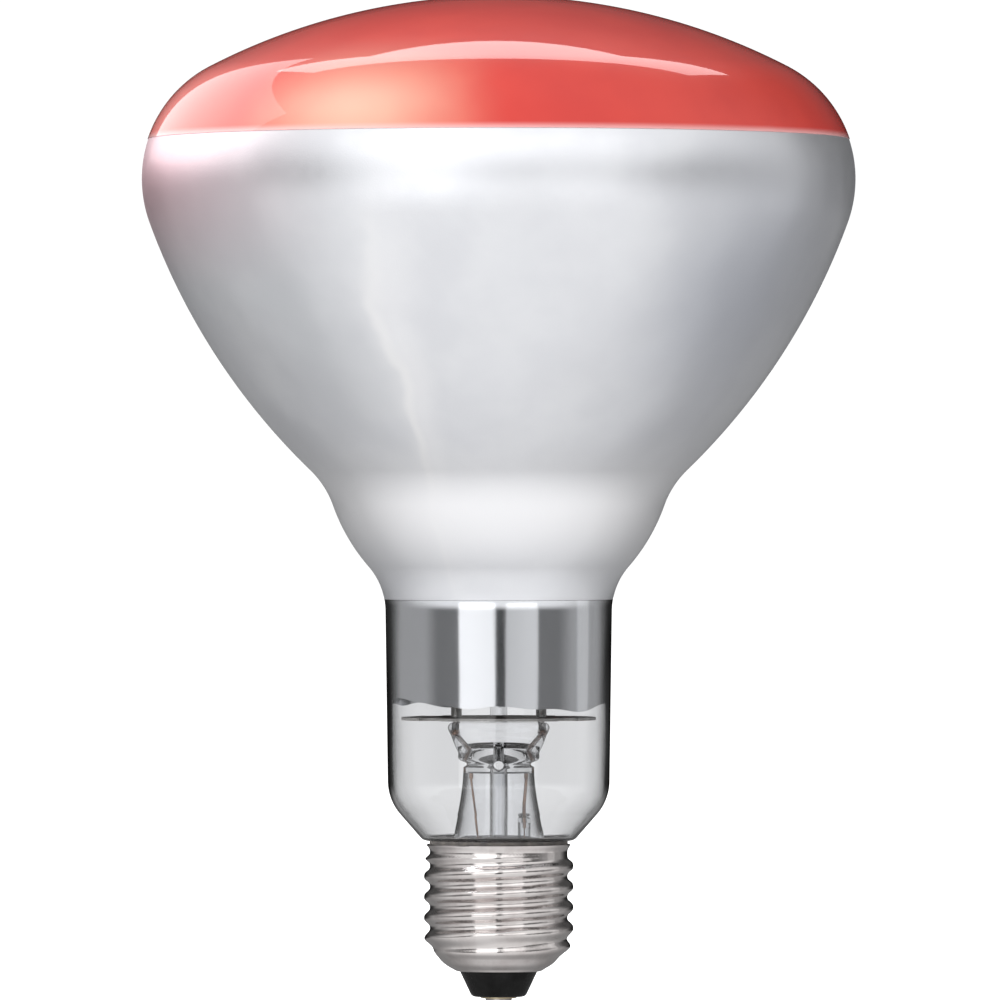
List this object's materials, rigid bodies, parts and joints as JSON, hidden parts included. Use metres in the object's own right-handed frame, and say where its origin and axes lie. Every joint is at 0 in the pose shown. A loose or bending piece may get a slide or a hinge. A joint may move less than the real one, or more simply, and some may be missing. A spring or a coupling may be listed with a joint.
{
  "type": "infrared reflector heat lamp",
  "caption": "Infrared reflector lamp with a red domed front, a mirrored blown-glass body, a clear neck and an Edison screw cap.",
  "frame": {"origin": "tip of the cap's centre contact, on the lamp's axis", "axes": "+Z along the lamp's axis from the cap to the red front; the glass press and the two leads lie in the XZ plane"},
  "size_m": [0.125, 0.125, 0.1766],
  "materials": {
    "clear_glass": "clear blown glass",
    "mirror_film": "satin vapour-deposited reflector film",
    "red_film": "smooth glossy red heat filter",
    "stem_glass": "clear pressed glass",
    "nickel_shell": "bright nickel plate on rolled sheet",
    "black_glass": "glossy black moulded glass insulator",
    "contact_brass": "plain",
    "solder": "dull solder",
    "cement": "dark baked capping cement",
    "mica": "satin mineral sheet",
    "nickel_wire": "drawn wire",
    "copper_wire": "drawn wire",
    "tungsten": "dark coiled wire"
  },
  "bodies": {
    "root": {"bulb_envelope": "clear_glass", "mirror_coating": "mirror_film", "red_coating": "red_film", "screw_shell": "nickel_shell", "cap_insulator": "black_glass", "centre_contact": "contact_brass", "contact_solder": "solder", "capping_cement": "cement", "side_solder": "solder", "stem_flare": "stem_glass", "exhaust_tube": "stem_glass", "outer_lead_neutral": "copper_wire", "outer_lead_live_upper": "copper_wire", "outer_lead_live_lower": "copper_wire", "fuse_wire": "copper_wire", "fuse_sleeve": "stem_glass", "heat_shield_disc": "mica", "support_rod": "stem_glass", "filament": "tungsten", "seal_wire_live": "copper_wire", "seal_wire_neutral": "copper_wire", "inner_lead_live": "nickel_wire", "inner_lead_neutral": "nickel_wire", "shield_ferrule_live": "nickel_wire", "shield_ferrule_neutral": "nickel_wire", "filament_clamp_live": "nickel_wire", "filament_clamp_neutral": "nickel_wire", "filament_support_1": "tungsten", "filament_support_2": "tungsten", "filament_support_3": "tungsten", "filament_support_4": "tungsten"}
  },
  "joints": []
}
